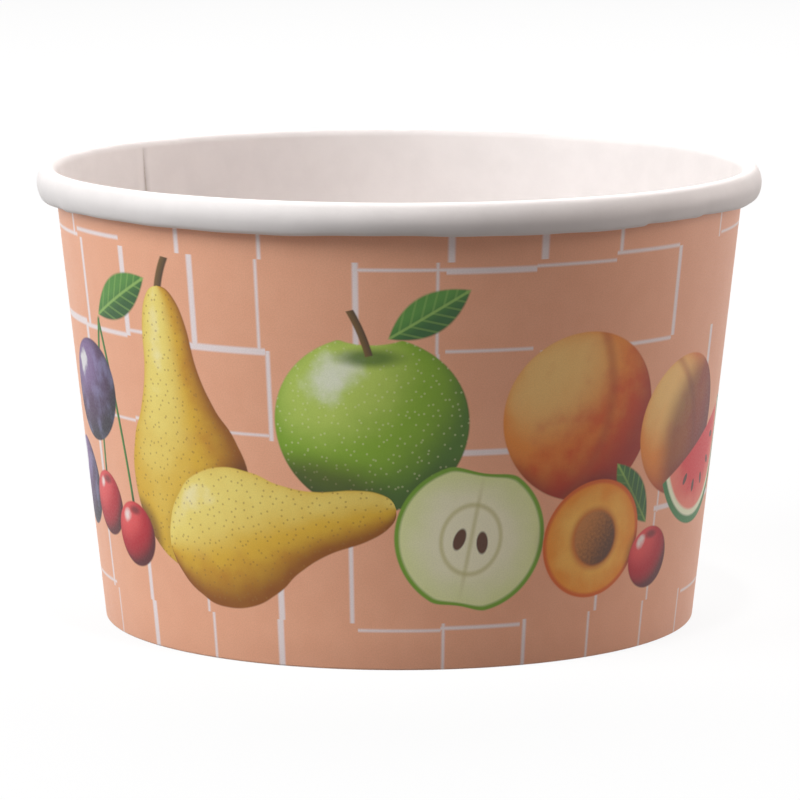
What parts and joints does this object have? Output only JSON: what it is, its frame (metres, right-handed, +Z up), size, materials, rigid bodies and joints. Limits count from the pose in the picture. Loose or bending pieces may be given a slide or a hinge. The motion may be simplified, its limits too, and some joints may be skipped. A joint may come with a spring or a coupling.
{
  "type": "paper dessert cup",
  "caption": "Round tapered paper cup for ice cream and desserts, with a rolled rim, a lapped side seam and a recessed bottom disc locked in a folded foot.",
  "frame": {"origin": "centre of the foot ring, on the table", "axes": "+Z up along the cup's axis, from the foot to the rim; the free edge of the side seam's inner layer stands at 141 degrees from +X"},
  "size_m": [0.095, 0.095, 0.0598],
  "materials": {
    "printed_board": "satin coated board, printed outside and white inside",
    "white_board": "satin coated white board"
  },
  "bodies": {
    "root": {"sidewall": "printed_board", "bottom_disc": "white_board"}
  },
  "joints": []
}
